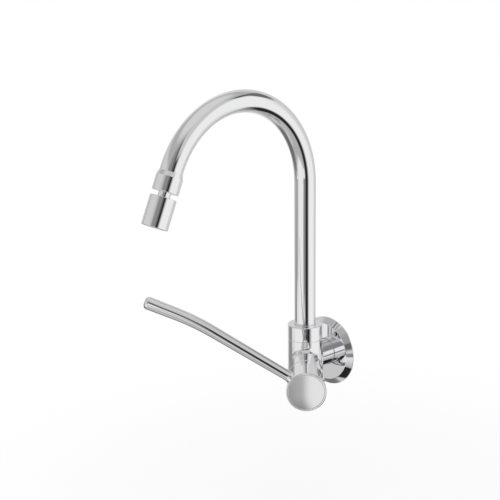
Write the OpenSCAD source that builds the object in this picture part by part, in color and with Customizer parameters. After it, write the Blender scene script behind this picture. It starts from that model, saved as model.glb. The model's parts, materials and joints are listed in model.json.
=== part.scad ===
// Wall tap with a swivel gooseneck spout, an angled quarter-turn valve with
// a long elbow lever, and a ball-jointed aerator.
// Frame: the origin is where the inlet axis meets the wall plane (Y = 0),
// the tap stands out along -Y and +Z is up. Millimetres throughout.

/* [Wall inlet] */
// Distance from the wall to the upright axis of the body
standoff = 36; // [32:0.5:48]
// Major diameter of the male inlet thread
inlet_thread_d = 20.955; // [20.955, 26.441]
// Length of thread that reaches into the wall
inlet_reach = 14; // [10:1:20]
// Water way through the inlet nipple
nipple_bore_d = 15; // [12:0.5:16]
// Thickness of the horn's wall round the inlet thread
horn_wall = 3.5; // [2.5:0.25:4]

/* [Wall flange] */
// Diameter of the flange against the wall
flange_d = 73.6; // [66:0.2:90]
// Diameter of the flange's flat front face
flange_face_d = 61.4; // [52:0.2:64]
// Depth of the flange from the wall to its front face
flange_depth = 5.7; // [5:0.1:8]
// Sheet thickness of the flange
flange_wall = 1.4; // [1:0.1:2]

/* [Body] */
// Diameter of the upright body and of the spout nut
body_d = 36; // [34:0.2:40]
// Height of the nut's lower edge above the inlet axis
nut_seat_h = 22.5; // [21:0.5:26]
// Height of the spout nut
nut_h = 15.6; // [15.2:0.1:22]
// Depth of the body below the inlet axis
body_drop = 20; // [19:0.5:26]
// Bore of the spout socket
socket_d = 27; // [26:0.1:27.4]

/* [Spout] */
// Outside diameter of the spout tube
spout_d = 22; // [20:0.1:22.4]
// Wall thickness of the spout tube
spout_wall = 1.2; // [0.8:0.1:2]
// Height of the start of the bend above the inlet axis
bend_start_h = 188.7; // [120:0.1:300]
// Centreline radius of the bend
bend_r = 91.3; // [60:0.1:130]
// Angle that the tube bends through
bend_angle = 156; // [120:1:170]
// Straight length between the bend and the collar
spout_tail = 2.8; // [0:0.2:20]

/* [Aerator] */
// Diameter of the collar and of the aerator housing
aerator_d = 25.4; // [25:0.1:30]
// Length of the collar on the end of the tube
collar_len = 19; // [17:0.5:26]
// Length of the collar's sloping shoulder
collar_slope = 4.5; // [2:0.5:6]
// Bare neck showing between the collar and the housing
neck_gap = 4.9; // [4.6:0.1:9]
// Diameter of the neck
neck_d = 12; // [10:0.1:12.2]
// Diameter of the ball
ball_d = 19.2; // [18.6:0.1:19.4]
// Length of the aerator housing
housing_len = 29; // [25:0.5:36]
// Tilt of the aerator each way that its opening leaves room for
tilt_max = 15; // [5:1:15]

/* [Valve] */
// Angle of the valve barrel from straight out of the wall
valve_angle = 45; // [30:1:60]
// Diameter of the valve barrel
barrel_d = 37; // [35:0.2:40]
// Length of the cast barrel from the upright axis
barrel_len = 44; // [40:1:52]
// Diameter of the barrel's waist between the upright and its boss
waist_d = 26.6; // [26.4:0.2:32]
// Length of the boss that carries the cover
boss_len = 5; // [3:0.5:8]
// Length of the cover between the casting and the lever hub
cover_len = 16.6; // [14.6:0.2:22]
// Diameter of the lip round the lever hub's face
hub_d = 39.8; // [38:0.1:46]
// Length of that lip
lip_len = 4; // [3.4:0.2:7]
// Length of the lever hub
hub_len = 40; // [36:0.5:46]
// Rounding of the hub's front edge
hub_round = 0.8; // [0.6:0.1:1.6]
// Width of the rim round the hub's cap
hub_rim = 2; // [1.5:0.1:3]
// Diameter of the ceramic discs
disc_d = 16; // [14:0.1:16.4]
// Diameter of the spindle
spindle_d = 8; // [7:0.1:9]

/* [Lever] */
// Distance of the lever's axis behind the hub's face
lever_inset = 16; // [14:0.5:18]
// Rise of the lever above level at rest
lever_rise = 32; // [0:1:60]
// Distance from the hub's axis to the bend in the lever
lever_run = 127.5; // [60:0.5:160]
// Angle that the lever bends back towards level
lever_bend = 9.6; // [2:0.2:20]
// Radius of the lever's bend
lever_bend_r = 240; // [60:5:260]
// Length of the lever past its bend
lever_end = 53.4; // [30:0.2:100]
// Lever diameter at the hub
lever_root_d = 10.4; // [9:0.1:12]
// Lever diameter at the tip
lever_tip_d = 13; // [9:0.1:14]

/* [Hidden] */
$fn = 72;

// Clearances
run_gap = 0.08;      // between a turning piece and its bore
face_gap = 0.1;      // between two flat faces, one of which turns
thread_gap = 0.05;   // between mated threads, drawn as plain cylinders
ball_gap = 0.15;     // between the ball and what it turns in
hub_gap = 0.4;       // between the fixed cover and the turning hub
tail_lap = 0.5;      // how far a straight length laps into its bend
tail_step = 0.06;    // how much thicker that length is than the bend
cut = 1;             // how far a cutter runs past the face it cuts

// Upright body, heights above the inlet axis
body_r = body_d / 2;
socket_r = socket_d / 2;
socket_floor = 9;
collar_r = body_r - 2;                     // male thread for the nut
nut_grip = 6.8;                            // length of the nut's thread
collar_top = nut_seat_h + nut_grip;
stem_flange_h = 2.5;
stem_flange_bottom = collar_top + face_gap;
stem_flange_top = stem_flange_bottom + stem_flange_h;
nut_top = nut_seat_h + nut_h;
nut_plate = 3.5;
bush_bottom = stem_flange_top + face_gap;
bush_top = nut_top - nut_plate;
edge = 0.8;                                // chamfer on outer edges
foot_round = 7;                            // rounding of the casting's lower end

// Spout tube and its swivel stem
tube_r = spout_d / 2;
tube_ir = tube_r - spout_wall;
tail_r = tube_r + tail_step;
stem_r = socket_r - run_gap;
stem_bottom = socket_floor + 2;
oring_r = 0.8;                             // section of the spout's O-rings
oring_sink = oring_r * 2 + run_gap;
groove_r = stem_r - oring_sink;
groove_w = 2.2;
oring_low = 4;                             // heights of the O-rings on the stem
oring_high = 10;
oring_heights = [stem_bottom + oring_low, stem_bottom + oring_high];

// Inlet
thread_r = inlet_thread_d / 2;
nipple_sink = 15;                          // thread inside the horn
horn_r = thread_r + horn_wall;
horn_end = 1;                              // horn stops this short of the wall
relief_end = 0.6;                          // thread relief at the wall plane
relief_depth = 0.8;
gasket_w = 7;
way_r = 6;                                 // water way into the valve
inlet_way_r = 6.6;                         // water way from the inlet
flange_fit = 0.15;                         // flange slides on the horn
strainer_t = 0.8;
strainer_at = inlet_reach - 4;             // seat of the strainer in the nipple's mouth
strainer_r = nipple_bore_d / 2 + 0.7;

// Valve, distances along the barrel from the upright axis
barrel_r = barrel_d / 2;
waist_r = waist_d / 2;
boss_at = barrel_len - boss_len;
shoulder = 5.2;                            // slope from the waist up to the boss
seat_at = 10;
chamber_r = 10.9;
thread_at = 30;
cart_thread_r = 10.5;
nose_r = 9.2;
disc_r = disc_d / 2;
disc_t = 2.9;
base_seal_t = 3;
nose_at = seat_at + 2;
fixed_at = seat_at + face_gap + base_seal_t;
moving_at = fixed_at + disc_t + face_gap / 2;
foot_at = moving_at + disc_t + face_gap / 2;
foot_t = 4;
cavity_end = 28;
spindle_r = spindle_d / 2;
hex_af = 24;
hex_t = 6;
neck_r = 8;
web_t = 3;
cover_nut_t = 4;
cover_r = barrel_r;
cover_wall = 2;
cover_web_at = barrel_len + hex_t;
cover_nut_at = cover_web_at + web_t;
cart_end = cover_nut_at + cover_nut_t;
clip_t = 1;
cover_end = barrel_len + cover_len;
hub_at = cover_end + hub_gap;
face_reach = hub_at + hub_len;
hub_r = hub_d / 2;
drum_r = barrel_r;                         // hub behind its lip, flush with the cover
lip_at = face_reach - lip_len;
hub_web_at = hub_at + 2;
cap_t = 3;
cap_at = face_reach - cap_t;
cap_r = hub_r - hub_rim;
cap_dome = 0.6;
lever_at = face_reach - lever_inset;
spindle_end = lever_at - 2;
screw_r = 2.4;
screw_head_r = 4.8;
screw_sink = 6;                            // seat of the screw's head behind the cap
screw_head_at = cap_at - screw_sink;
screw_head_t = 4;
screw_len = 14;
screw_hole = 16;                           // threaded hole, from the head's seat
seal_groove_at = cavity_end + 5;           // spindle's O-ring groove
seal_groove_w = 2;
seal_groove_d = 1;
stud_r = 4;
stud_in = 6.6;                             // inner end of the lever's stud
lever_seat = drum_r - 1.1;                 // floor of the pocket the lever sits in

// Aerator, distances along the outlet from the start of the collar
aer_r = aerator_d / 2;
tube_tail = 8;
stem_head_at = tube_tail + 2;
plate_at = collar_len - 3.2;
head_r = tube_r - 0.5;
neck_rr = neck_d / 2;
ball_r = ball_d / 2;
housing_at = collar_len + neck_gap;
ball_depth = 8.2;                          // ball centre below the housing's top
ball_at = housing_at + ball_depth;
housing_end = housing_at + housing_len;
stem_bore_r = 3.5;
mouth_r = neck_rr / cos(tilt_max) + ball_depth * tan(tilt_max) + 0.25;
housing_ir = ball_r + 0.6;
seal_at = ball_at + 3;
seal_t = 5;
regulator_at = seal_at + seal_t + face_gap;
regulator_t = 2;
insert_at = regulator_at + regulator_t;
insert_end = housing_end - 1;
insert_floor = 1.8;
ball_trim = 0.55;                          // ball is cut flat at this part of its radius

// ---- places ----

// Upright axis of the body
module on_body() { translate([0, -standoff, 0]) children(); }

// +Z runs into the wall from the wall plane
module on_inlet() { rotate([-90, 0, 0]) children(); }

// +Z runs out along the valve barrel from the upright axis
module on_valve() { on_body() rotate([0, 0, valve_angle]) rotate([90, 0, 0]) children(); }

// +X points out of the wall side of the bend and +Y points up, at the bend's centre
module on_bend() {
    translate([0, -standoff - bend_r, bend_start_h]) rotate([90, 0, 90]) children();
}

// +Z runs along the water from the start of the collar
module on_outlet() {
    on_bend() rotate([0, 0, bend_angle]) translate([bend_r, spout_tail, 0]) rotate([-90, 0, 0])
        children();
}

// +X runs along the lever from the hub's axis
module on_lever() {
    on_valve() translate([0, 0, lever_at]) rotate([0, 0, 180 - lever_rise]) children();
}

// ---- shapes ----

// Tube along +Z from z0 to z1
module ring(z0, z1, ro, ri) {
    translate([0, 0, z0]) difference() {
        cylinder(h = z1 - z0, r = ro);
        translate([0, 0, -cut]) cylinder(h = z1 - z0 + 2 * cut, r = ri);
    }
}

// Solid round bar along +Z from z0 to z1
module rod(z0, z1, r) { translate([0, 0, z0]) cylinder(h = z1 - z0, r = r); }

// Round bar from z0 to z1 with its far edge chamfered by c
module chamfered_rod(z0, z1, r, c) {
    rod(z0, z1 - c, r);
    translate([0, 0, z1 - c]) cylinder(h = c, r1 = r, r2 = r - c);
}

// Round bar from z0 to z1 with its far edge rounded by c
module rounded_rod(z0, z1, r, c) {
    translate([0, 0, z0]) rotate_extrude() {
        square([r, z1 - z0 - c]);
        square([r - c, z1 - z0]);
        translate([r - c, z1 - z0 - c]) intersection() {
            circle(r = c);
            translate([0, -c / 2]) square([c, 2 * c]);
        }
    }
}

// Ring of round section, lying flat at height z
module o_ring(z, r, section) {
    translate([0, 0, z]) rotate_extrude() translate([r, 0]) circle(r = section, $fn = 32);
}

// Points of a round pattern: one in the middle and six more for each further ring
function pattern(rings, pitch) =
    [[0, 0], for (k = [1:rings]) for (i = [0:6 * k - 1])
        [k * pitch * cos(i * 60 / k), k * pitch * sin(i * 60 / k)]];

// Round holes along Z on those points
module hole_pattern(rings, pitch, r, z0, z1) {
    for (p = pattern(rings, pitch)) translate([p[0], p[1], 0]) rod(z0, z1, r, $fn = 16);
}

// Two opposite sector openings of a ceramic disc
module sector_openings(z0, z1) {
    for (a = [0, 180]) rotate([0, 0, a]) translate([0, 0, z0])
        linear_extrude(height = z1 - z0)
            polygon([[1.4, 1.4], [disc_r * 0.78, 1.4], [disc_r * 0.58, disc_r * 0.58],
                     [1.4, disc_r * 0.78]]);
}

// Half section of the upright body, rounded at its foot and stepped in for the nut
module body_half() {
    foot_top = foot_round - body_drop;
    translate([0, -body_drop]) square([body_r - foot_round, collar_top + body_drop]);
    translate([0, foot_top]) square([body_r, nut_seat_h - foot_top]);
    translate([0, foot_top]) square([collar_r, collar_top - foot_top]);
    intersection() {
        translate([body_r - foot_round, foot_top]) circle(r = foot_round);
        translate([0, -body_drop]) square([body_r, foot_round + cut]);
    }
}

// ---- fixed body ----

module valve_body() {
    color("silver") difference() {
        union() {
            on_body() rotate_extrude() body_half();
            on_inlet() rod(-standoff, -horn_end, horn_r);
            on_valve() rod(0, boss_at, waist_r);
            on_valve() translate([0, 0, boss_at - shoulder])
                cylinder(h = shoulder, r1 = waist_r, r2 = barrel_r);
            on_valve() rod(boss_at, barrel_len, barrel_r);
        }
        on_body() rod(socket_floor, collar_top + cut, socket_r);
        on_inlet() rod(-standoff - way_r, -horn_end - nipple_sink, inlet_way_r);
        on_inlet() rod(-horn_end - nipple_sink, cut, thread_r + thread_gap);
        on_valve() rod(0, seat_at, way_r);
        on_valve() rod(seat_at, thread_at, chamber_r);
        on_valve() rod(thread_at - cut, barrel_len + cut, cart_thread_r + thread_gap);
    }
}

module inlet_nipple() {
    color("goldenrod") on_inlet() difference() {
        union() {
            rod(-horn_end - nipple_sink + thread_gap, -horn_end, thread_r);
            rod(-horn_end, relief_end, thread_r - relief_depth);
            chamfered_rod(relief_end, inlet_reach, thread_r, edge);
        }
        rod(-horn_end - nipple_sink - cut, inlet_reach + cut, nipple_bore_d / 2);
        rod(strainer_at, inlet_reach + cut, strainer_r + thread_gap);
    }
}

module inlet_strainer() {
    color("gainsboro") on_inlet() difference() {
        rod(strainer_at, strainer_at + strainer_t, strainer_r);
        hole_pattern(2, nipple_bore_d * 0.18, nipple_bore_d * 0.06,
                     strainer_at - cut, strainer_at + strainer_t + cut);
    }
}

// Dish pressed against the wall, with a neck that slides on the horn
module wall_flange() {
    neck = 2.6;
    back = 1;
    color("silver") on_inlet() mirror([0, 0, 1]) difference() {
        union() {
            rod(0, back, flange_d / 2);
            translate([0, 0, back])
                cylinder(h = flange_depth - back, r1 = flange_d / 2, r2 = flange_face_d / 2);
        }
        difference() {
            translate([0, 0, -cut])
                cylinder(h = flange_depth - flange_wall + cut,
                         r1 = flange_d / 2 - 2 * flange_wall, r2 = flange_face_d / 2 - flange_wall);
            rod(face_gap, flange_depth, horn_r + flange_fit + neck);
        }
        rod(-cut, flange_depth + cut, horn_r + flange_fit);
        ring(1.6, 3.4, horn_r + flange_fit + 1.3, horn_r - cut);
    }
}

module flange_o_ring() {
    section = 0.65;
    color("dimgray") on_inlet() o_ring(-2.5, horn_r + thread_gap + section, section);
}

module flange_gasket() {
    outer = flange_face_d / 2 - flange_wall - 1;
    color("dimgray") on_inlet() ring(-flange_depth + flange_wall, 0, outer, outer - gasket_w);
}

module spout_nut() {
    color("silver") on_body() difference() {
        chamfered_rod(nut_seat_h, nut_top, body_r, edge);
        rod(nut_seat_h - cut, bush_top, collar_r + thread_gap);
        rod(nut_seat_h, nut_top + cut, tube_r + 0.25);
    }
}

module nut_bush() {
    color("white") on_body() ring(bush_bottom, bush_top, collar_r - 0.3, tube_r + run_gap);
}

module cartridge_body() {
    color("goldenrod") on_valve() difference() {
        union() {
            rod(nose_at, thread_at, nose_r);
            rod(thread_at, barrel_len, cart_thread_r);
            translate([0, 0, barrel_len])
                cylinder(h = hex_t, r = hex_af / 2 / cos(30), $fn = 6);
            rod(cover_web_at, cart_end, neck_r);
        }
        rod(nose_at - cut, cavity_end, disc_r + thread_gap);
        rod(cavity_end - cut, cart_end + cut, spindle_r + run_gap);
        for (a = [0, 90]) rotate([0, 0, a])
            translate([-nose_r - cut, -3, foot_at + foot_t + 0.4])
                cube([2 * (nose_r + cut), 6, cavity_end - foot_at - foot_t - 0.4]);
    }
}

module cartridge_seal() {
    color("dimgray") on_valve() ring(seat_at, fixed_at - face_gap / 2, disc_r - 0.1, disc_r - 2.2);
}

module fixed_disc() {
    color("white") on_valve() difference() {
        rod(fixed_at, fixed_at + disc_t, disc_r);
        sector_openings(fixed_at - cut, fixed_at + disc_t + cut);
    }
}

module barrel_cover() {
    color("silver") on_valve() difference() {
        rod(barrel_len, cover_end, cover_r);
        rod(barrel_len - cut, cover_web_at, cover_r - cover_wall);
        rod(cover_web_at - cut, cover_end, neck_r + thread_gap);
        rod(cover_nut_at, cover_end + cut, cover_r - cover_wall);
    }
}

module cover_nut() {
    color("goldenrod") on_valve() difference() {
        translate([0, 0, cover_nut_at]) cylinder(h = cover_nut_t - 0.4, r = hex_af / 2, $fn = 6);
        rod(cover_nut_at - cut, cart_end + cut, neck_r + thread_gap);
    }
}

// ---- swivelling spout ----

module spout_tube() {
    color("silver") difference() {
        union() {
            on_body() rod(stem_bottom, bend_start_h, tube_r);
            on_bend() rotate_extrude(angle = bend_angle) translate([bend_r, 0]) circle(r = tube_r);
            on_outlet() rod(-spout_tail - tail_lap, tube_tail, tail_r);
        }
        on_body() rod(stem_bottom - cut, bend_start_h, tube_ir);
        on_bend() rotate_extrude(angle = bend_angle) translate([bend_r, 0]) circle(r = tube_ir);
        on_outlet() rod(-spout_tail - tail_lap, tube_tail + cut, tube_ir - tail_step);
    }
}

module spout_stem() {
    color("goldenrod") on_body() difference() {
        union() {
            rod(stem_bottom, stem_flange_bottom, stem_r);
            rod(stem_flange_bottom, stem_flange_top, collar_r - 0.8);
        }
        rod(stem_bottom - cut, stem_flange_top + cut, tube_r + thread_gap / 2);
        for (z = oring_heights) ring(z - groove_w / 2, z + groove_w / 2, stem_r + cut, groove_r);
    }
}

module spout_o_ring_lower() {
    color("dimgray") on_body() o_ring(oring_heights[0], groove_r + oring_r, oring_r);
}

module spout_o_ring_upper() {
    color("dimgray") on_body() o_ring(oring_heights[1], groove_r + oring_r, oring_r);
}

module spout_end_collar() {
    color("silver") on_outlet() difference() {
        union() {
            cylinder(h = collar_slope, r1 = tube_r + 0.4, r2 = aer_r);
            rod(collar_slope, collar_len, aer_r);
        }
        rod(-cut, tube_tail, tail_r + thread_gap);
        rod(tube_tail - cut, plate_at, head_r + run_gap);
        rod(plate_at - cut, collar_len + cut, neck_rr + run_gap);
    }
}

module collar_washer() {
    color("dimgray") on_outlet()
        ring(tube_tail, stem_head_at - face_gap, head_r, stem_bore_r + 1);
}

// ---- ball joint ----

module ball_stem() {
    color("silver") on_outlet() difference() {
        union() {
            rod(stem_head_at, ball_at, neck_rr);
            translate([0, 0, ball_at]) sphere(r = ball_r);
        }
        rod(stem_head_at - cut, ball_at + ball_r + cut, stem_bore_r);
        rod(ball_at + ball_r * ball_trim, ball_at + ball_r + cut, ball_r);
    }
}

// Ring that holds the stem above the collar's end plate
module stem_ring() {
    color("goldenrod") on_outlet()
        ring(stem_head_at, plate_at - face_gap, head_r, neck_rr + thread_gap / 2);
}

module aerator_housing() {
    color("silver") on_outlet() difference() {
        union() {
            translate([0, 0, housing_at]) cylinder(h = edge / 2, r1 = aer_r - edge / 2, r2 = aer_r);
            chamfered_rod(housing_at + edge / 2, housing_end, aer_r, edge / 2);
        }
        rod(housing_at - cut, ball_at, mouth_r);
        translate([0, 0, ball_at]) sphere(r = ball_r + ball_gap);
        rod(ball_at, housing_end + cut, housing_ir);
    }
}

module ball_seal() {
    color("dimgray") on_outlet() difference() {
        ring(seal_at, seal_at + seal_t, housing_ir - 0.1, stem_bore_r + 1.5);
        translate([0, 0, ball_at]) sphere(r = ball_r + ball_gap);
    }
}

module flow_regulator() {
    color("seagreen") on_outlet() difference() {
        rod(regulator_at, regulator_at + regulator_t - face_gap, housing_ir - 0.1);
        hole_pattern(1, housing_ir * 0.5, 1.3, regulator_at - cut, regulator_at + regulator_t + cut);
    }
}

module aerator_insert() {
    color("white") on_outlet() difference() {
        rod(insert_at, insert_end, housing_ir - 0.1);
        rod(insert_at - cut, insert_end - insert_floor, housing_ir - 1.6);
        hole_pattern(2, 3.6, 1.3, insert_end - insert_floor - cut, insert_end + cut);
    }
}

// ---- lever ----

module lever_hub() {
    color("silver") difference() {
        on_valve() difference() {
            union() {
                translate([0, 0, hub_at]) cylinder(h = edge, r1 = drum_r - edge, r2 = drum_r);
                rod(hub_at + edge, lip_at, drum_r);
                rounded_rod(lip_at, face_reach, hub_r, hub_round);
            }
            rod(hub_at - cut, hub_web_at, drum_r - 3);
            rod(hub_web_at - cut, spindle_end + thread_gap, spindle_r + thread_gap);
            rod(spindle_end - cut, cap_at, screw_r + 0.2);
            rod(screw_head_at, cap_at + cut, screw_head_r + 0.2);
            rod(cap_at, face_reach + cut, cap_r + thread_gap);
        }
        on_lever() rotate([0, 90, 0]) rod(lever_seat, hub_r + 2, lever_root_d / 2 + thread_gap);
        on_lever() rotate([0, 90, 0]) rod(stud_in, hub_r, stud_r + thread_gap);
    }
}

// Slightly domed disc let into the hub's face
module hub_cap() {
    dome_r = (cap_r * cap_r + cap_dome * cap_dome) / (2 * cap_dome);
    color("silver") on_valve() intersection() {
        rod(cap_at, face_reach, cap_r);
        translate([0, 0, face_reach - dome_r]) sphere(r = dome_r, $fn = 720);
    }
}

module hub_screw() {
    color("gray") on_valve() difference() {
        union() {
            rod(screw_head_at + thread_gap, screw_head_at + screw_head_t, screw_head_r);
            rod(screw_head_at - screw_len, screw_head_at + thread_gap, screw_r);
        }
        translate([0, 0, screw_head_at + 1.5])
            cylinder(h = screw_head_t, r = 2.5 / cos(30), $fn = 6);
    }
}

// Tapered round bar with one shallow bend, a stud in the hub and a rounded tip
module lever_rod() {
    mid_r = (lever_root_d + lever_tip_d) / 4;
    tip_r = lever_tip_d / 2;
    nose = 2;
    bend_half = lever_bend_r * tan(lever_bend / 2);
    run = lever_run - bend_half;
    tail = lever_end - bend_half - nose;
    color("silver") on_lever() {
        rotate([0, 90, 0]) rod(stud_in + thread_gap, lever_seat + 2, stud_r);
        rotate([0, 90, 0]) translate([0, 0, lever_seat + thread_gap])
            cylinder(h = run + tail_lap - lever_seat - thread_gap,
                     r1 = lever_root_d / 2, r2 = mid_r + tail_step);
        translate([run, lever_bend_r, 0]) rotate([0, 0, -90]) {
            rotate_extrude(angle = lever_bend) translate([lever_bend_r, 0]) circle(r = mid_r);
            rotate([0, 0, lever_bend]) translate([lever_bend_r, -tail_lap, 0]) rotate([-90, 0, 0]) {
                cylinder(h = tail, r1 = mid_r + tail_step, r2 = tip_r);
                translate([0, 0, tail]) cylinder(h = nose, r1 = tip_r, r2 = tip_r - nose * 0.6);
            }
        }
    }
}

module spindle() {
    groove = 0.6;
    color("goldenrod") on_valve() difference() {
        union() {
            difference() {
                rod(foot_at, foot_at + foot_t, disc_r - 0.1);
                rotate([0, 0, 90]) sector_openings(foot_at - cut, foot_at + foot_t + cut);
            }
            rod(foot_at, spindle_end, spindle_r);
        }
        ring(seal_groove_at, seal_groove_at + seal_groove_w,
             spindle_r + cut, spindle_r - seal_groove_d);
        ring(cart_end + face_gap, cart_end + face_gap + clip_t, spindle_r + cut, spindle_r - groove);
        rod(screw_head_at - screw_hole, spindle_end + cut, screw_r + thread_gap);
    }
}

module spindle_o_ring() {
    section = 0.5;
    color("dimgray") on_valve()
        o_ring(seal_groove_at + seal_groove_w / 2, spindle_r - seal_groove_d + section, section);
}

module moving_disc() {
    color("whitesmoke") on_valve() difference() {
        rod(moving_at, moving_at + disc_t, disc_r - 0.1);
        rotate([0, 0, 90]) sector_openings(moving_at - cut, moving_at + disc_t + cut);
    }
}

module spindle_clip() {
    color("gray") on_valve() difference() {
        ring(cart_end + face_gap, cart_end + face_gap + clip_t,
             spindle_r + 1.8, spindle_r - 0.6 + thread_gap);
        translate([0, -1.5, cart_end]) cube([spindle_r + 3, 3, 3]);
    }
}

valve_body();
inlet_nipple();
inlet_strainer();
wall_flange();
flange_o_ring();
flange_gasket();
spout_nut();
nut_bush();
cartridge_body();
cartridge_seal();
fixed_disc();
barrel_cover();
cover_nut();
spout_tube();
spout_stem();
spout_o_ring_lower();
spout_o_ring_upper();
spout_end_collar();
collar_washer();
ball_stem();
stem_ring();
aerator_housing();
ball_seal();
flow_regulator();
aerator_insert();
lever_hub();
hub_cap();
hub_screw();
lever_rod();
spindle();
spindle_o_ring();
moving_disc();
spindle_clip();
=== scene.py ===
"""Wall tap with a swivel gooseneck spout, a long elbow lever and a ball-jointed aerator.

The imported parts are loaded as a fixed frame. Smooth finished surfaces stand for
the plated pieces, every piece gets its finish, and a floor, a plain studio and a
camera are set up. The classes hold sizes in millimetres; meshes are in metres.
"""

from __future__ import annotations

import json
import logging
import math
from dataclasses import dataclass, field
from enum import Enum
from typing import Any, Sequence

import bpy
import numpy as np
from mathutils import Matrix

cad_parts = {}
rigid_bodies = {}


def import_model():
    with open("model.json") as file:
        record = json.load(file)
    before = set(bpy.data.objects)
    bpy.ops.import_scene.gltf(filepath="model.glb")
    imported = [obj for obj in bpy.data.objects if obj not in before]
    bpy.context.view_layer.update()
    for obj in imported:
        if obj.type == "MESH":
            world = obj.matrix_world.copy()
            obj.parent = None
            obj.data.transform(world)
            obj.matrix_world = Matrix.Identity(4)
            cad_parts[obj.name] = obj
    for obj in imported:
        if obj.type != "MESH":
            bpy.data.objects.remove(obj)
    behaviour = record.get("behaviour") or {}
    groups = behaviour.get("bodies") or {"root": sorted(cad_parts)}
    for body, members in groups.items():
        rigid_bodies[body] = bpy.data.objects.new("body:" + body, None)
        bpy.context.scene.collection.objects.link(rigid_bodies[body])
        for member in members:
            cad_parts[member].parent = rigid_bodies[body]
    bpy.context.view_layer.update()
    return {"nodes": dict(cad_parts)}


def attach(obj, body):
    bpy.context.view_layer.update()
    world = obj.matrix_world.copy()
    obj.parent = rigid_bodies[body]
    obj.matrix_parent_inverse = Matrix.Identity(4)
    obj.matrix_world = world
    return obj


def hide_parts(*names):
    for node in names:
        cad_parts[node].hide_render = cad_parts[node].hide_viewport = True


LOG = logging.getLogger("wall_tap")
MM = 0.001
TURN = 2 * math.pi
DIAGONAL = math.sqrt(0.5)
Array = np.ndarray
Piece = bpy.types.Object
Triple = tuple[float, float, float]
Point = Triple
Colour = Triple

GAP = 0.05  # room between pieces that fit into each other
BODY_OUT = 36.0  # from the wall to the body's upright axis
SMALL, MEDIUM, LARGE, WIDE = 96, 128, 160, 192  # points round pieces of growing size


class Body(str, Enum):
    """The bodies that pieces ride on."""

    TAP = "tap_body"
    SPOUT = "spout"
    SWIVEL = "aerator_swivel"
    AERATOR = "aerator"
    LEVER = "lever"


class Slot(str, Enum):
    """The record's material slots."""

    CASTING = "plated_casting"
    SHEET = "plated_sheet"
    TUBE = "plated_tube"
    BRASS = "bare_brass"
    MESH = "steel_mesh"
    SCREW = "screw_steel"
    RUBBER = "seal_rubber"
    BUSH = "bush_plastic"
    INSERT = "insert_plastic"
    REGULATOR = "regulator_plastic"
    CERAMIC = "disc_ceramic"


class Ends(Enum):
    """How the rows of a surface close."""

    LOOP = "the last row joins the first"
    POLES = "the first and the last row are single points"


# ---- surfaces ----


@dataclass(frozen=True)
class Axis:
    """A line that turned pieces are made on.

    Attributes:
        origin: the point that distances along the line start from.
        along: unit vector of the line.
        side: unit vector that angles round the line start from.
    """

    origin: Point
    along: Point
    side: Point

    def place(self, along: Array, side: Array, up: Array) -> Array:
        """Points for distances along the line, to its side and up from it.

        Args:
            along: distances along the line.
            side: distances to its side.
            up: distances square to both.

        Returns:
            Points, with one more dimension than the distances.
        """
        a, s = np.array(self.along), np.array(self.side)
        u = np.cross(a, s)
        steps = [np.asarray(d, float)[..., None] for d in (along, side, up)]
        return np.array(self.origin) + steps[0] * a + steps[1] * s + steps[2] * u


def angles(count: int) -> Array:
    """Evenly spaced angles round a full turn, the last one short of the first."""
    return np.arange(count) * TURN / count


def linked(name: str, data: bpy.types.ID) -> Piece:
    """Puts data into the scene.

    Args:
        name: name of the object.
        data: its mesh, light or camera.

    Returns:
        The new object, at the origin.
    """
    made = bpy.data.objects.new(name, data)
    bpy.context.scene.collection.objects.link(made)
    return made


def signed_volume(points: Array, tris: Array) -> float:
    """Volume inside triangles: a sixth of the sum of a . (b x c), above 0 if they face out."""
    a, b, c = (points[tris[:, i]] for i in range(3))
    return float(np.einsum("ij,ij->i", a, np.cross(b, c)).sum() / 6)


def piece_from_rows(name: str, rows: Array, ends: Ends, sharp: float = 32.0) -> Piece:
    """A closed mesh from rows of points that each close on themselves.

    Neighbouring rows are joined by quads. A row that is a pole becomes one
    point with a fan of triangles. Faces are turned to point outwards.

    Args:
        name: name of the object.
        rows: points in millimetres, shaped (rows, columns, 3).
        ends: how the first and last rows close.
        sharp: edges that turn by more than this angle in degrees stay crisp.

    Returns:
        The new object, at the origin.
    """
    count, cols = rows.shape[:2]
    if ends is Ends.LOOP:
        points = rows.reshape(-1, 3)
        index = np.arange(count * cols).reshape(count, cols)
        here, there = index, np.roll(index, -1, axis=0)
        fans = np.zeros((0, 3), int)
    else:
        inner = rows[1:-1].reshape(-1, 3)
        points = np.concatenate([inner, rows[0, :1], rows[-1, :1]])
        index = np.arange(len(inner)).reshape(count - 2, cols)
        here, there = index[:-1], index[1:]
        first, last = index[0], index[-1]
        pole = np.full(cols, len(inner))
        fans = np.concatenate([
            np.stack([pole, first, np.roll(first, -1)], -1),
            np.stack([pole + 1, np.roll(last, -1), last], -1),
        ])
    quads = np.stack([here, there, np.roll(there, -1, axis=1), np.roll(here, -1, axis=1)], -1)
    quads = quads.reshape(-1, 4)
    tris = np.concatenate([quads[:, [0, 1, 2]], quads[:, [0, 2, 3]], fans])
    if signed_volume(points, tris) < 0:
        quads, fans = quads[:, ::-1], fans[:, ::-1]
    mesh = bpy.data.meshes.new(name)
    mesh.from_pydata((points * MM).tolist(), [], quads.tolist() + fans.tolist())
    mesh.validate()
    mesh.shade_smooth()
    mesh.set_sharp_from_angle(angle=math.radians(sharp))
    return linked(name, mesh)


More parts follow.
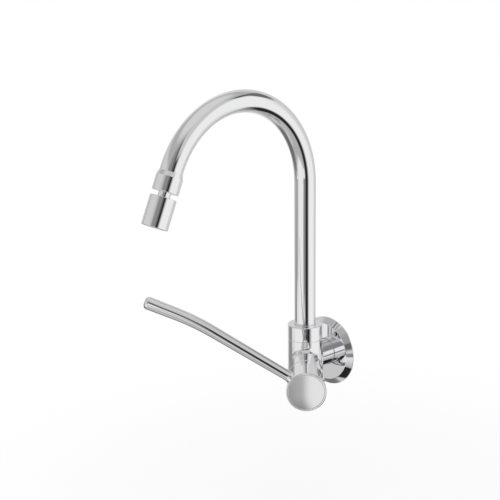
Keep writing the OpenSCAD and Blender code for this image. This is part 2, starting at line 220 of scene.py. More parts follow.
def rounded(corners: Sequence[Sequence[float]], loop: bool, steps: int = 6) -> Array:
    """An outline whose corners are rounded.

    A corner with a radius is replaced by an arc that touches both of its sides,
    at a distance of radius * tan(half the turn) from the corner. Long straight
    sides get one more point near each end, which keeps their shading flat.

    Args:
        corners: (along, radius, rounding) for each corner.
        loop: whether the outline closes on itself.
        steps: straight pieces in one arc.

    Returns:
        Points shaped (count, 2).
    """
    spots = np.array([c[:2] for c in corners], float)
    radii = [c[2] if len(c) > 2 else 0.0 for c in corners]
    out: list[Array] = []
    for i, (spot, radius) in enumerate(zip(spots, radii)):
        inside = loop or 0 < i < len(spots) - 1
        before = spots[i - 1] - spot
        after = spots[(i + 1) % len(spots)] - spot
        if not inside or radius <= 0:
            out.append(spot)
            continue
        a, b = before / np.linalg.norm(before), after / np.linalg.norm(after)
        half = math.acos(float(np.clip(a @ b, -1, 1))) / 2
        reach = radius / math.tan(half)
        middle = (a + b) / np.linalg.norm(a + b)
        centre = spot + middle * radius / math.sin(half)
        start, end = spot + a * reach - centre, spot + b * reach - centre
        first = math.atan2(start[1], start[0])
        turn = math.atan2(end[1], end[0]) - first
        turn = (turn + math.pi) % TURN - math.pi
        t = first + turn * np.linspace(0, 1, steps + 1)
        out.extend(centre + radius * np.stack([np.cos(t), np.sin(t)], -1))
    return supported(np.array(out), loop)


def supported(line: Array, loop: bool, reach: float = 0.06, least: float = 0.6) -> Array:
    """The same outline with a point just inside each end of every long straight side.

    Args:
        line: points of the outline.
        loop: whether it closes on itself.
        reach: distance of the new points from the ends.
        least: length past which a side gets them.

    Returns:
        Points shaped (count, 2).
    """
    out = []
    total = len(line)
    for i in range(total if loop else total - 1):
        a, b = line[i], line[(i + 1) % total]
        out.append(a)
        length = float(np.linalg.norm(b - a))
        if length > least:
            out.extend([a + (b - a) * reach / length, b - (b - a) * reach / length])
    if not loop:
        out.append(line[-1])
    return np.array(out)


def turned_rows(axis: Axis, outline: Array, columns: int) -> Array:
    """Rows of a turned surface: each outline point (z, r) goes round the axis in a circle.

    Args:
        axis: the line it is turned on.
        outline: points (along, radius).
        columns: points round each circle.

    Returns:
        Points shaped (count, columns, 3).
    """
    t = angles(columns)
    z = np.repeat(outline[:, :1], columns, axis=1)
    return axis.place(z, outline[:, 1:] * np.cos(t), outline[:, 1:] * np.sin(t))


def turned(name: str, axis: Axis, corners: Sequence[Sequence[float]], columns: int = MEDIUM,
           ends: Ends = Ends.LOOP) -> Piece:
    """A turned piece.

    Args:
        name: name of the object.
        axis: the line it is turned on.
        corners: (along, radius, rounding) of each corner of its outline.
        columns: points round it.
        ends: POLES where the outline starts and ends on the axis.

    Returns:
        The new object.
    """
    outline = rounded(corners, ends is Ends.LOOP)
    return piece_from_rows(name, turned_rows(axis, outline, columns), ends)


def tube_rows(path: Array, tangents: Array, side: Array, radii: Array, columns: int) -> Array:
    """Circles carried along a path that lies in a plane.

    A point is path + r (cos t side + sin t (tangent x side)).

    Args:
        path: centres, shaped (count, 3).
        tangents: unit vectors along the path.
        side: unit vector square to the path's plane.
        radii: radius at each centre.
        columns: points round each circle.

    Returns:
        Points shaped (count, columns, 3).
    """
    t = angles(columns)[None, :, None]
    up = np.cross(tangents, side)[:, None, :]
    r = radii[:, None, None]
    return path[:, None, :] + r * (np.cos(t) * side + np.sin(t) * up)


def smooth_step(x: Array, low: float, high: float) -> Array:
    """0 below low, 1 above high and 3 t^2 - 2 t^3 for a share t of the way in between."""
    t = np.clip((x - low) / (high - low), 0, 1)
    return t * t * (3 - 2 * t)


# ---- shader maths ----


class Value:
    """A node's output that takes part in sums; each operator adds a Math node."""

    def __init__(self, shader: Shader, socket: bpy.types.NodeSocket | None) -> None:
        """Wraps a socket of one of the shader's nodes, or None for a node without outputs."""
        self.shader, self.socket = shader, socket

    def math(self, operation: str, *others: Value | float, swap: bool = False) -> Value:
        """Adds a Math node.

        Args:
            operation: what the node does.
            others: the values or numbers that it takes after this one.
            swap: whether the order of its terms is turned round.

        Returns:
            Its result.
        """
        terms: list[Value | float] = [self, *others]
        if swap:
            terms.reverse()
        inputs = dict(enumerate(terms))
        return self.shader.node("ShaderNodeMath", {"operation": operation}, inputs)

    def __add__(self, other: Value | float) -> Value:
        """Sum."""
        return self.math("ADD", other)

    __radd__ = __add__

    def __mul__(self, other: Value | float) -> Value:
        """Product."""
        return self.math("MULTIPLY", other)

    __rmul__ = __mul__

    def __sub__(self, other: Value | float) -> Value:
        """Difference."""
        return self.math("SUBTRACT", other)

    def __rsub__(self, other: Value | float) -> Value:
        """Difference with this value taken away."""
        return self.math("SUBTRACT", other, swap=True)

    def __truediv__(self, other: Value | float) -> Value:
        """Quotient."""
        return self.math("DIVIDE", other)

    def __rtruediv__(self, other: Value | float) -> Value:
        """Quotient with this value below the line."""
        return self.math("DIVIDE", other, swap=True)

    def other(self, output: str) -> Value:
        """Another output of the same node."""
        return Value(self.shader, self.socket.node.outputs[output])

    def window(self, start: float, end: float) -> Value:
        """Goes smoothly from 1 at start to 0 at end."""
        return self.shader.node(
            "ShaderNodeMapRange", {"interpolation_type": "SMOOTHSTEP"},
            {"Value": self, "From Min": start, "From Max": end, "To Min": 1.0, "To Max": 0.0})


class Shader:
    """The node tree of one material or of the world."""

    def __init__(self, tree: bpy.types.NodeTree) -> None:
        """Empties the tree and makes it ready for new nodes."""
        tree.nodes.clear()
        self.tree = tree

    def node(self, kind: str, settings: dict[str, Any] | None = None,
             inputs: dict[int | str, Any] | None = None, output: int | str = 0) -> Value:
        """Adds one node.

        Args:
            kind: the node's type.
            settings: attributes, which are set first.
            inputs: values or links by socket name or number.
            output: name or number of the output to hand back.

        Returns:
            The chosen output, which is empty for a node that has none.
        """
        made = self.tree.nodes.new(kind)
        for key, setting in (settings or {}).items():
            setattr(made, key, setting)
        for key, given in (inputs or {}).items():
            if isinstance(given, Value):
                self.tree.links.new(given.socket, made.inputs[key])
            else:
                made.inputs[key].default_value = given
        chosen = made.outputs[output] if len(made.outputs) else None
        return Value(self, chosen)

    def place(self) -> Value:
        """The point on the object."""
        return self.node("ShaderNodeTexCoord", output="Object")

    def noise(self, scale: float, detail: float = 2.0, roughness: float = 0.5,
              vector: Value | None = None) -> Value:
        """Cloudy noise from 0 to 1.

        Args:
            scale: cells in a metre.
            detail: how many times finer noise is added.
            roughness: how much the finer noise shows.
            vector: where it is read, which is the point on the object if left out.

        Returns:
            The noise.
        """
        return self.node("ShaderNodeTexNoise", None, {
            "Vector": vector or self.place(), "Scale": scale, "Detail": detail,
            "Roughness": roughness})

    def mix_colours(self, share: Value, first: Sequence[float], second: Sequence[float]) -> Value:
        """The first colour where share is 0, and the second where it is 1."""
        return self.node("ShaderNodeMix", {"data_type": "RGBA"}, {
            0: share, 6: (*first, 1), 7: (*second, 1)}, output=2)

    def stretched(self, scale: Triple) -> Value:
        """The point on the object, stretched along the three axes."""
        return self.node("ShaderNodeMapping", None, {"Vector": self.place(), "Scale": scale})


@dataclass(frozen=True)
class Finish:
    """What every finish has.

    Attributes:
        name: name of the material.
        slot: the record's slot that it belongs to.
        light: the lighter of its two shades.
        dark: the darker of its two shades.
        rough: its mean roughness.
        uneven: how far the roughness goes up and down.
        patch: cells of the shading pattern in a metre.
        grain: cells of the relief in a metre.
        relief: height of the relief in millimetres.
        metal: whether it is bare or plated metal.
    """

    name: str
    slot: Slot
    light: Colour
    dark: Colour
    rough: float
    uneven: float
    patch: float
    grain: float
    relief: float
    metal: bool = False

    def pattern(self, shader: Shader) -> tuple[Value, Value]:
        """What changes over the surface.

        Args:
            shader: the shader of the material.

        Returns:
            The pattern that mixes the shades, and the height of the relief.
        """
        return shader.noise(self.patch, 4.0), shader.noise(self.grain, 3.0)

    def make(self) -> bpy.types.Material:
        """Builds the material the first time it is asked for.

        Returns:
            The material, which is the same one each time.
        """
        found = bpy.data.materials.get(self.name)
        if found:
            return found
        material = bpy.data.materials.new(self.name)
        material.use_nodes = True
        shader = Shader(material.node_tree)
        cloud, height = self.pattern(shader)
        normal = shader.node("ShaderNodeBump", None, {
            "Strength": 1.0, "Distance": self.relief * MM, "Height": height})
        principled = shader.node("ShaderNodeBsdfPrincipled", None, {
            "Base Color": shader.mix_colours(cloud, self.dark, self.light),
            "Roughness": self.rough + (cloud - 0.5) * self.uneven,
            "Metallic": 1.0 if self.metal else 0.0,
            "Normal": normal})
        shader.node("ShaderNodeOutputMaterial", None, {"Surface": principled})
        return material


@dataclass(frozen=True)
class Plating(Finish):
    """Bright chrome plate: a clear mirror with faint wiping marks and a soft waviness.

    Attributes:
        wave: cells of the waviness in a metre.
    """

    metal: bool = True
    wave: float = 30.0

    def pattern(self, shader: Shader) -> tuple[Value, Value]:
        """Broad smears broken up by fine ones, and slow waves with a fine pitting.

        Args:
            shader: the shader of the material.

        Returns:
            The smears and the waves.
        """
        smear = shader.noise(self.patch, 5.0, 0.6, shader.stretched((1.0, 1.0, 0.35)))
        fine = shader.noise(self.patch * 9, 2.0)
        waves = shader.noise(self.wave, 1.0, 0.4)
        return smear * 0.75 + fine * 0.25, waves + shader.noise(self.grain, 2.0) * 0.04


@dataclass(frozen=True)
class TurnedMetal(Finish):
    """Bare metal from the lathe, with fine tool marks in level bands.

    Attributes:
        pitch: height of one band in millimetres.
    """

    metal: bool = True
    pitch: float = 0.25

    def pattern(self, shader: Shader) -> tuple[Value, Value]:
        """A stain pattern, and tool marks as a wave along the height.

        Args:
            shader: the shader of the material.

        Returns:
            The stains and the marks.
        """
        marks = shader.node("ShaderNodeTexWave", {"bands_direction": "Z"}, {
            "Vector": shader.place(), "Scale": 1 / (self.pitch * MM * 10), "Distortion": 2.0,
            "Detail": 2.0}, output=1)
        return shader.noise(self.patch, 4.0), marks * 0.7 + shader.noise(self.grain, 2.0) * 0.3


CAST_CHROME = Plating("cast_chrome", Slot.CASTING, (0.90, 0.90, 0.91), (0.86, 0.86, 0.87),
                      0.045, 0.03, 14, 900, 0.006)
TUBE_CHROME = Plating("tube_chrome", Slot.TUBE, (0.90, 0.90, 0.91), (0.87, 0.87, 0.88),
                      0.04, 0.025, 12, 900, 0.004)
SHEET_CHROME = Plating("sheet_chrome", Slot.SHEET, (0.91, 0.91, 0.92), (0.87, 0.87, 0.88),
                       0.045, 0.03, 16, 900, 0.005)
BRASS = TurnedMetal("turned_brass", Slot.BRASS, (0.76, 0.60, 0.31), (0.62, 0.46, 0.21),
                    0.28, 0.14, 60, 1500, 0.01)
STEEL = TurnedMetal("stainless_steel", Slot.SCREW, (0.60, 0.60, 0.60), (0.48, 0.48, 0.49),
                    0.26, 0.1, 90, 1800, 0.008)
PUNCHED_STEEL = TurnedMetal("punched_steel", Slot.MESH, (0.66, 0.66, 0.65),
                            (0.55, 0.55, 0.55), 0.3, 0.12, 120, 2000, 0.008)
RUBBER = Finish("nitrile_rubber", Slot.RUBBER, (0.05, 0.05, 0.052), (0.028, 0.028, 0.03),
                0.62, 0.2, 130, 2200, 0.02)
ACETAL = Finish("white_acetal", Slot.BUSH, (0.87, 0.87, 0.85), (0.80, 0.80, 0.77),
                0.42, 0.1, 110, 1600, 0.012)
GREY_PLASTIC = Finish("grey_moulding", Slot.INSERT, (0.78, 0.79, 0.79), (0.70, 0.71, 0.71),
                      0.38, 0.12, 120, 1700, 0.012)
GREEN_PLASTIC = Finish("green_moulding", Slot.REGULATOR, (0.22, 0.45, 0.39),
                       (0.16, 0.36, 0.31), 0.4, 0.12, 120, 1700, 0.012)
CERAMIC = Finish("lapped_ceramic", Slot.CERAMIC, (0.90, 0.89, 0.86), (0.84, 0.83, 0.80),
                 0.16, 0.06, 150, 2500, 0.003)


# ---- pieces ----


@dataclass
class Assembly:
    """A group of pieces that share a body.

    Attributes:
        body: the body they ride on.
        made: names of the pieces made so far.
    """

    body: Body
    made: list[str] = field(default_factory=list)

    def paint(self, piece: Piece, finish: Finish) -> None:
        """Gives a piece its material, and notes its name.

        Args:
            piece: the piece.
            finish: its finish.
        """
        piece.data.materials.clear()
        piece.data.materials.append(finish.make())
        self.made.append(piece.name)

    def dress(self, piece: Piece, finish: Finish, *nodes: str) -> None:
        """Gives a new piece its finish and body, and hides the nodes that it stands for.

        Args:
            piece: the new piece.
            finish: its finish.
            nodes: names of the CAD nodes that it replaces.
        """
        self.paint(piece, finish)
        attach(piece, self.body.value)
        if nodes:
            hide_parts(*nodes)

    def finish_nodes(self, finishes: dict[str, Finish]) -> None:
        """Gives CAD nodes that stay in view their finishes."""
        for name, finish in finishes.items():
            self.paint(bpy.data.objects[name], finish)

    def build(self) -> None:
        """Makes the group's pieces, which each group does in its own way."""
        raise NotImplementedError

    def report(self) -> None:
        """Logs what was made."""
        LOG.info("%s: %s", type(self).__name__, ", ".join(self.made))


UPRIGHT = Axis((0, -BODY_OUT, 0), (0, 0, 1), (1, 0, 0))
INLET = Axis((0, 0, 0), (0, 1, 0), (1, 0, 0))
VALVE = Axis((0, -BODY_OUT, 0), (DIAGONAL, -DIAGONAL, 0), (DIAGONAL, DIAGONAL, 0))


@dataclass
class Casting(Assembly):
    """The cast body with its two barrels, and the flange, nut and cover fixed to it.

    The horn runs from the upright to the wall, and the valve barrel leaves it 45
    degrees to the right of straight out. Places along the barrel and the cover
    count from the upright's axis, and those along the flange from the wall.
    """

    body: Body = Body.TAP
    # the upright, its foot, and the neck inside the nut
    body_r: float = 18.0
    body_drop: float = 20.0
    foot_round: float = 7.0
    seat: float = 22.5
    seam: float = 0.3
    neck_r: float = 16.0
    neck_top: float = 29.3
    socket_r: float = 13.5
    socket_floor: float = 9.0
    # the valve barrel: waist, sloping shoulder, boss and bore
    barrel_r: float = 18.5
    waist_r: float = 13.3
    boss_at: float = 39.0
    shoulder: float = 5.2
    barrel_len: float = 44.0
    barrel_joint: float = 25.5
    barrel_overlap: float = 4.5
    barrel_bore: float = 10.55
    # depth, start and end from the joint of each dip of the barrel inside its turned half
    dips: tuple[Triple, ...] = ((0.03, -5.5, -1.5), (0.5, 0.5, 2.5))
    # the horn, and the fillets where the barrel and the horn leave the upright
    horn_r: float = 13.9775
    horn_len: float = 35.0
    fillet: float = 4.0
    horn_fillet: float = 2.5
    # the nut round the tube
    nut_h: float = 15.6
    nut_web: float = 3.5
    tube_r: float = 11.0
    tube_room: float = 0.25
    # the cover, with a web that the cartridge's nut holds
    cover_gap: float = 0.04
    cover_end: float = 60.6
    cover_wall: float = 2.0
    web_at: float = 50.0
    web_end: float = 53.0
    web_bore: float = 8.05
    # the flange, and the groove of its O-ring
    flange_r: float = 36.8
    flange_face_r: float = 30.7
    flange_depth: float = 5.7
    flange_edge: float = 1.0
    flange_wall: float = 1.4
    flange_room: float = 0.15
    groove_at: float = 3.4
    groove_end: float = 1.6
    groove_depth: float = 1.3
    # the grid of the casting's outside
    rows: int = 210
    columns: int = 400
    farthest: float = 70.0
    halvings: int = 44

    def distance(self, p: Array) -> Array:
        """How far points are outside the casting's upright, valve barrel and horn.

        Each is the distance to a round bar. Where two of them cross, the
        smaller distance a or b is lowered by h^2 / 4k with h = k - |a - b|, and
        k shrinks to nothing where the two surfaces run side by side. Past its
        joint the barrel dips inside its turned outer half.

        Args:
            p: points from the centre of the body, shaped (..., 3).

        Returns:
            Distances, below 0 inside.
        """
        x, y, z = p[..., 0], p[..., 1], p[..., 2]
        out = np.hypot(x, y)
        k = self.foot_round
        a, b = out - self.body_r + k, -z - self.body_drop + k
        upright = np.minimum(np.maximum(a, b), 0) - k
        upright = upright + np.hypot(np.maximum(a, 0), np.maximum(b, 0))
        s, across = (x - y) * DIAGONAL, (x + y) * DIAGONAL
        round_s = np.hypot(across, z)
        joint = self.barrel_joint
        dip = sum(depth * smooth_step(s, joint + start, joint + end)
                  for depth, start, end in self.dips)
        bar = np.maximum(round_s - self.waist_r + dip, -s)
        barrel = np.maximum(bar, s - joint - self.barrel_overlap)
        round_y = np.hypot(x, z)
        horn = np.maximum(np.maximum(round_y - self.horn_r, -y), y - self.horn_len)
        small = 1e-6
        side_s = across * across / (out * round_s + small)
        side_y = x * x / (out * round_y + small)
        joined = self.joined(upright, barrel, self.fillet * (1 - side_s ** 2))
        return self.joined(joined, horn, self.horn_fillet * (1 - side_y ** 2))

    @staticmethod
    def joined(a: Array, b: Array, k: Array) -> Array:
        """The smaller of two distances, lowered near where they are equal.

        Args:
            a: the first distance.
            b: the second.
            k: difference of the two below which the result is lowered.

        Returns:
            The joined distance.
        """
        k = np.maximum(k, 1e-4)
        h = np.maximum(k - np.abs(a - b), 0)
        return np.minimum(a, b) - h * h / (4 * k)

    def casting(self) -> Piece:
        """The body: rays from its centre meet its outside, and the top is turned.

        Each ray's meeting point is found by halving the stretch that holds it.

        Returns:
            The new piece.
        """
        top = self.seat - self.seam
        last = math.atan2(top, self.body_r)
        tilt = np.linspace(-math.pi / 2, last, self.rows)
        t = angles(self.columns)
        level = np.cos(tilt)[:, None]
        rays = np.stack([level * np.cos(t), level * np.sin(t),
                         np.repeat(np.sin(tilt)[:, None], self.columns, axis=1)], -1)
        low, high = np.zeros(rays.shape[:2]), np.full(rays.shape[:2], self.farthest)
        for _ in range(self.halvings):
            middle = (low + high) / 2
            within = self.distance(rays * middle[..., None]) < 0
            low, high = np.where(within, middle, low), np.where(within, high, middle)
        outside = np.array(UPRIGHT.origin) + rays * low[..., None]
        outline = rounded([
            (top, self.body_r), (self.seat, self.body_r - self.seam),
            (self.seat, self.neck_r), (self.neck_top, self.neck_r, 0.4),
            (self.neck_top, self.socket_r, 0.3), (self.socket_floor, self.socket_r, 0.5),
            (self.socket_floor, 0)], loop=False)[1:]
        rows = np.concatenate([outside, turned_rows(UPRIGHT, outline, self.columns)])
        return piece_from_rows("tap_casting", rows, Ends.POLES)

    def barrel(self) -> Piece:
        """The outer half of the valve barrel: its waist, and the boss under the cover.

        Returns:
            The new piece.
        """
        rise = self.boss_at - self.shoulder
        return turned("valve_barrel", VALVE, [
            (self.barrel_joint, self.waist_r), (rise, self.waist_r, 1.5),
            (self.boss_at, self.barrel_r, 0.8), (self.barrel_len, self.barrel_r, 0.35),
            (self.barrel_len, self.barrel_bore), (self.barrel_joint, self.barrel_bore)], LARGE)

    def nut(self) -> Piece:
        """The plain spout nut, with a soft top edge and a fine seam below.

        Returns:
            The new piece.
        """
        top = self.seat + self.nut_h
        web, hole = top - self.nut_web, self.tube_r + self.tube_room
        return turned("plated_spout_nut", UPRIGHT, [
            (self.seat, self.body_r - self.seam), (self.seat + self.seam, self.body_r),
            (top, self.body_r, 0.9), (top, hole, 0.35), (web, hole), (web, self.neck_r + GAP),
            (self.seat, self.neck_r + GAP)], LARGE)

    def cover(self) -> Piece:
        """The sleeve between the casting and the lever hub.

        Returns:
            The new piece.
        """
        start, inner = self.barrel_len + self.cover_gap, self.barrel_r - self.cover_wall
        return turned("plated_barrel_cover", VALVE, [
            (start, self.barrel_r, 0.35), (self.cover_end, self.barrel_r, 0.8),
            (self.cover_end, inner), (self.web_end, inner), (self.web_end, self.web_bore),
            (self.web_at, self.web_bore), (self.web_at, inner), (start, inner)], LARGE)

    def flange(self) -> Piece:
        """The dish against the wall: a short edge, a cone and a flat face round the horn.

        Returns:
            The new piece.
        """
        hole, front, wall = self.horn_r + self.flange_room, -self.flange_depth, self.flange_wall
        start, end, groove = -self.groove_at, -self.groove_end, hole + self.groove_depth
        sleeve, back = hole + 2.6, -0.1
        return turned("plated_wall_flange", INLET, [
            (0, self.flange_r, 0.2), (-self.flange_edge, self.flange_r, 0.7),
            (front, self.flange_face_r, 0.9), (front, hole, 0.5), (start, hole),
            (start, groove), (end, groove), (end, hole), (back, hole), (back, sleeve),
            (front + wall, sleeve), (front + wall, self.flange_face_r - wall, 0.8),
            (0, self.flange_r - 2 * wall)], WIDE)

    def nipple(self) -> Piece:
        """The inlet nipple with its pipe thread.

        The radius is the major one less a V of the thread's depth, whose place
        moves on by one pitch a turn. The V fades out at the chamfered end and
        beside the plain relief at the wall.

        Returns:
            The new piece.
        """
        pitch, depth, major = 1.814, 1.162, 10.4775
        inner, outer, chamfer = -15.95, 14.0, 1.0
        relief, relief_depth, columns = (-1.0, 0.65), 0.8, 120
        z = np.concatenate([[inner], np.linspace(relief[0] - 0.05, relief[1] - 0.05, 5),
                            np.linspace(relief[1] + 0.05, outer, 150)])
        t = angles(columns)
        turn = z[:, None] / pitch - t[None, :] / TURN
        vee = np.abs((turn % 1.0) * 2 - 1)
        cut = smooth_step(z, 0.9, 1.9)[:, None] * depth * np.clip(vee * 1.25 - 0.12, 0, 1)
        slope = np.clip(z - (outer - chamfer), 0, 1)[:, None] * 0.9
        relieved = (z >= relief[0]) & (z <= relief[1])
        plain = np.where(relieved, major - relief_depth, major)
        r = np.minimum(plain[:, None] - cut, major - slope)
        thread = INLET.place(np.repeat(z[:, None], columns, 1), r * np.cos(t), r * np.sin(t))
        seat, seat_r, bore_r = 10.0, 8.25, 7.5
        bore = rounded([(outer, seat_r), (seat, seat_r), (seat, bore_r), (inner, bore_r)],
                       loop=False)
        rows = np.concatenate([thread, turned_rows(INLET, bore, columns)])
        return piece_from_rows("threaded_inlet_nipple", rows, Ends.LOOP, sharp=28)

    def build(self) -> None:
        """Makes the plated pieces, and finishes the nodes that stay."""
        self.dress(self.casting(), CAST_CHROME, "valve_body")
        self.dress(self.barrel(), CAST_CHROME)
        self.dress(self.nut(), CAST_CHROME, "spout_nut")
        self.dress(self.cover(), CAST_CHROME, "barrel_cover")
        self.dress(self.flange(), SHEET_CHROME, "wall_flange")
        self.dress(self.nipple(), BRASS, "inlet_nipple")
        self.finish_nodes({
            "inlet_strainer": PUNCHED_STEEL, "flange_o_ring": RUBBER, "flange_gasket": RUBBER,
            "nut_bush": ACETAL, "cartridge_body": BRASS, "cartridge_seal": RUBBER,
            "fixed_disc": CERAMIC, "cover_nut": BRASS})


@dataclass
class Spout(Assembly):
    """The bent tube, its collar and what turns inside the body.

    The run is the straight stretch between the bend and the collar, and the
    tail is how far the tube reaches into the collar.
    """

    body: Body = Body.SPOUT
    tube_r: float = 10.98
    wall: float = 1.2
    foot: float = 11.0
    bend_start: float = 188.7
    bend_r: float = 91.3
    bend_deg: float = 156.0
    run: float = 2.8
    tail: float = 8.0
    collar_r: float = 12.7
    collar_len: float = 19.0
    collar_room: float = 0.1
    collar_bore: float = 10.58
    collar_lip: float = 3.2
    slope: float = 4.5
    neck_r: float = 6.08

    def outlet(self) -> Axis:
        """Where the water leaves: straight on from the end of the bend.

        Returns:
            The line of the outlet, from the start of the collar.
        """
        turn = math.radians(self.bend_deg)
        way = (0, -math.sin(turn), math.cos(turn))
        y = -BODY_OUT - self.bend_r + self.bend_r * math.cos(turn) + self.run * way[1]
        z = self.bend_start + self.bend_r * math.sin(turn) + self.run * way[2]
        return Axis((0, y, z), way, (1, 0, 0))

    def centreline(self) -> tuple[Array, Array]:
        """The middle of the tube: straight up, round the bend and out.

        Returns:
            Points and unit vectors along it, each shaped (count, 3).
        """
        turn = math.radians(self.bend_deg)
        rise = np.array([self.foot, self.foot + 1, 60, 120, self.bend_start - 0.5])
        bend = np.linspace(0, turn, 120)
        tail = np.array([0.5 - self.run, self.tail - 0.5, self.tail])
        up = UPRIGHT.place(rise, 0 * rise, 0 * rise)
        over = UPRIGHT.place(self.bend_start + self.bend_r * np.sin(bend), 0 * bend,
                             self.bend_r * (np.cos(bend) - 1))
        axis = self.outlet()
        out = axis.place(tail, 0 * tail, 0 * tail)
        way = np.concatenate([
            np.repeat([[0.0, 0.0, 1.0]], len(rise), 0),
            np.stack([0 * bend, -np.sin(bend), np.cos(bend)], -1),
            np.repeat([axis.along], len(tail), 0)])
        return np.concatenate([up, over, out]), way

    def tube(self) -> Piece:
        """The tube: its outside along the line, then its bore back again.

        Returns:
            The new piece.
        """
        path, way = self.centreline()
        side = np.array([1.0, 0.0, 0.0])
        full = np.full(len(path), self.tube_r)
        outer = tube_rows(path, way, side, full, MEDIUM)
        inner = tube_rows(path, way, side, full - self.wall, MEDIUM)
        rows = np.concatenate([outer, inner[::-1]])
        return piece_from_rows("bent_spout_tube", rows, Ends.LOOP)

    def collar(self) -> Piece:
        """The collar on the tube's end, with a sloping shoulder.

        Returns:
            The new piece.
        """
        r, end = self.collar_r, self.collar_len
        lip, hole, bore = end - self.collar_lip, self.tube_r + self.collar_room, self.collar_bore
        return turned("plated_end_collar", self.outlet(), [
            (0, hole), (0, hole + 0.3, 0.15), (self.slope, r, 0.6), (end, r, 0.5),
            (end, self.neck_r, 0.3), (lip, self.neck_r), (lip, bore), (self.tail, bore),
            (self.tail, hole)])

    def build(self) -> None:
        """Makes the tube and collar, and finishes the nodes that stay."""
        self.dress(self.tube(), TUBE_CHROME, "spout_tube")
        self.dress(self.collar(), TUBE_CHROME, "spout_end_collar")
        self.finish_nodes({
            "spout_stem": BRASS, "spout_o_ring_lower": RUBBER, "spout_o_ring_upper": RUBBER,
            "collar_washer": RUBBER})


@dataclass
class BallJoint(Assembly):
    """The neck and ball that the aerator tilts on, along the line of the outlet."""

    body: Body = Body.SWIVEL
    axis: Axis = field(default_factory=lambda: Spout().outlet())
    top: float = 10.0
    neck_r: float = 6.0
    ball_r: float = 9.6
    ball_at: float = 32.1
    bore_r: float = 3.5
    trim: float = 0.55

    def stem(self) -> Piece:
        """The stem: a bar, a ball cut flat at its far side, and a bore through both.

        Returns:
            The new piece.
        """
        first = math.pi - math.asin(self.neck_r / self.ball_r)
        t = np.linspace(first, math.acos(self.trim), 40)
        ball = np.stack([self.ball_at + self.ball_r * np.cos(t), self.ball_r * np.sin(t)], -1)
        end = self.ball_at + self.ball_r * self.trim
        shank = rounded([(self.top, self.bore_r), (self.top, self.neck_r, 0.3),
                         tuple(ball[0])], loop=False)
        outline = np.concatenate([shank, ball[1:], [[end, self.bore_r]]])
        rows = turned_rows(self.axis, supported(outline, True, least=1.5), SMALL)
        return piece_from_rows("plated_ball_stem", rows, Ends.LOOP)

    def build(self) -> None:
        """Makes the stem and finishes its ring."""
        self.dress(self.stem(), TUBE_CHROME, "ball_stem")
        self.finish_nodes({"stem_ring": BRASS})


@dataclass
class Aerator(Assembly):
    """The housing that tilts on the ball, and what it holds."""

    body: Body = Body.AERATOR
    axis: Axis = field(default_factory=lambda: Spout().outlet())
    start: float = 23.9
    length: float = 29.0
    r: float = 12.7
    mouth_r: float = 8.6586
    ball_at: float = 32.1
    seat_r: float = 9.75
    inner_r: float = 10.2

    def housing(self) -> Piece:
        """The plain sleeve, with the seat of the ball inside its upper end.

        Returns:
            The new piece.
        """
        end = self.start + self.length
        t = np.linspace(math.pi - math.asin(self.mouth_r / self.seat_r), math.pi / 2, 16)
        seat = [(self.ball_at + self.seat_r * math.cos(a), self.seat_r * math.sin(a)) for a in t]
        return turned("plated_aerator_housing", self.axis, [
            *seat, (self.ball_at, self.inner_r), (end, self.inner_r, 0.3), (end, self.r, 0.5),
            (self.start, self.r, 0.5), (self.start, self.mouth_r, 0.3)])

    def build(self) -> None:
        """Makes the housing, and finishes the nodes that stay."""
        self.dress(self.housing(), TUBE_CHROME, "aerator_housing")
        self.finish_nodes({"ball_seal": RUBBER, "flow_regulator": GREEN_PLASTIC,
                           "aerator_insert": GREY_PLASTIC})


